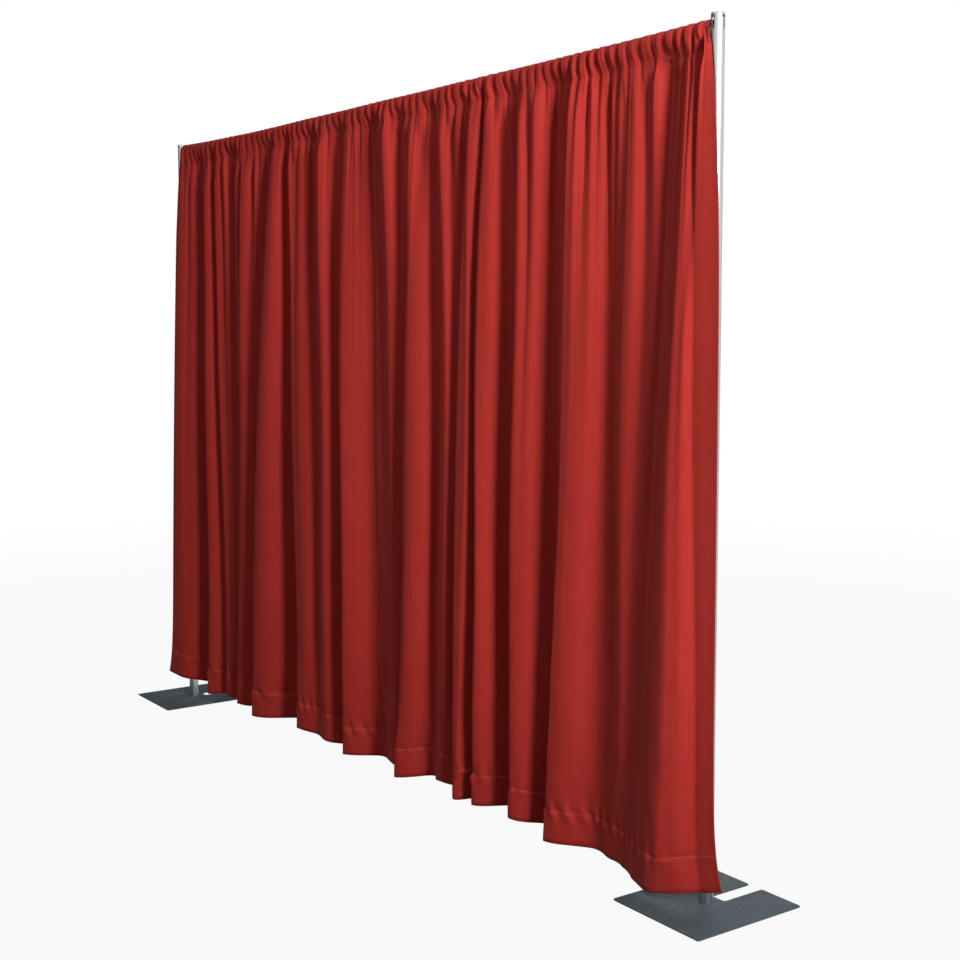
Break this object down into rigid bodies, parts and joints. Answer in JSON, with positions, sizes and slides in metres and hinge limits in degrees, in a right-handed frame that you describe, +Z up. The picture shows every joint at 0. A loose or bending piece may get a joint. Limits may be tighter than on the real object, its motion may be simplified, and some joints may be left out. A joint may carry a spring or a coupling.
{
  "type": "pipe and drape backdrop",
  "caption": "Free-standing backdrop: slotted floor plates with pins, slip-fit uprights, a telescoping crossbar hooked between them, and gathered drapes hung by their rod pockets.",
  "frame": {"origin": "on the floor, midway between the two uprights", "axes": "+X along the crossbar from the larger tube to the smaller, +Z up, -Y towards the front of the drapes"},
  "size_m": [3.4168, 0.4152, 2.4384],
  "materials": {
    "painted_plate": "semi-gloss dark blue-grey paint",
    "pin_steel": "plain drawn steel",
    "zinc": "bright zinc plate",
    "aluminium": "satin mill finish",
    "cap": "pale grey moulded plastic",
    "bush": "black moulded plastic",
    "drape_cloth": "matt woven red drape cloth"
  },
  "bodies": {
    "base_left": {"base_plate_left": "painted_plate"},
    "pin_left": {"base_pin_left": "pin_steel", "base_bolt_left": "zinc"},
    "upright_left": {"upright_tube_left": "aluminium", "upright_cap_left": "cap"},
    "crossbar_outer": {"crossbar_outer_tube": "aluminium", "crossbar_guide_bush": "bush", "crossbar_hook_left": "zinc", "hook_rivet_left": "zinc"},
    "crossbar_inner": {"crossbar_inner_tube": "aluminium", "crossbar_stop_plug": "bush", "crossbar_hook_right": "zinc", "hook_rivet_right": "zinc"},
    "upright_right": {"upright_tube_right": "aluminium", "upright_cap_right": "cap"},
    "pin_right": {"base_pin_right": "pin_steel", "base_bolt_right": "zinc"},
    "base_right": {"base_plate_right": "painted_plate"},
    "left_drape": {"drape_left": "drape_cloth"},
    "middle_drape": {"drape_middle": "drape_cloth"},
    "right_drape": {"drape_right": "drape_cloth"}
  },
  "joints": [
    {"name": "base_swivel_left", "type": "hinge", "parent": "base_left", "child": "pin_left", "pos_m": [-1.524, 0, 0], "axis": [0, 0, 1], "continuous": true},
    {"name": "upright_lift", "type": "slide", "parent": "pin_left", "child": "upright_left", "axis": [0, 0, 1], "range_m": [0, 0.178]},
    {"name": "crossbar_lift", "type": "slide", "parent": "upright_left", "child": "crossbar_outer", "axis": [0, 0, 1], "range_m": [0, 0.0195]},
    {"name": "crossbar_extension", "type": "slide", "parent": "crossbar_outer", "child": "crossbar_inner", "axis": [1, 0, 0], "range_m": [-1.2192, 0], "deforming": ["drape_left", "drape_middle", "drape_right"]},
    {"name": "hook_lift_right", "type": "slide", "parent": "crossbar_inner", "child": "upright_right", "axis": [0, 0, 1], "range_m": [-0.0195, 0]},
    {"name": "upright_lift_right", "type": "slide", "parent": "upright_right", "child": "pin_right", "axis": [0, 0, 1], "range_m": [-0.178, 0]},
    {"name": "base_swivel_right", "type": "hinge", "parent": "pin_right", "child": "base_right", "pos_m": [1.524, 0, 0], "axis": [0, 0, 1], "continuous": true},
    {"name": "left_drape_travel", "type": "slide", "parent": "crossbar_outer", "child": "left_drape", "axis": [1, 0, 0], "range_m": [-0.156, 0]},
    {"name": "middle_drape_travel", "type": "slide", "parent": "crossbar_outer", "child": "middle_drape", "axis": [1, 0, 0], "range_m": [-0.562, 0]},
    {"name": "right_drape_travel", "type": "slide", "parent": "crossbar_outer", "child": "right_drape", "axis": [1, 0, 0], "range_m": [-1.016, 0]}
  ],
  "couplings": [
    {"joint": "hook_lift_right", "follows": "crossbar_lift", "ratio": -1},
    {"joint": "upright_lift_right", "follows": "upright_lift", "ratio": -1},
    {"joint": "left_drape_travel", "follows": "crossbar_extension", "ratio": 0.1273},
    {"joint": "middle_drape_travel", "follows": "crossbar_extension", "ratio": 0.4597},
    {"joint": "right_drape_travel", "follows": "crossbar_extension", "ratio": 0.8324}
  ]
}
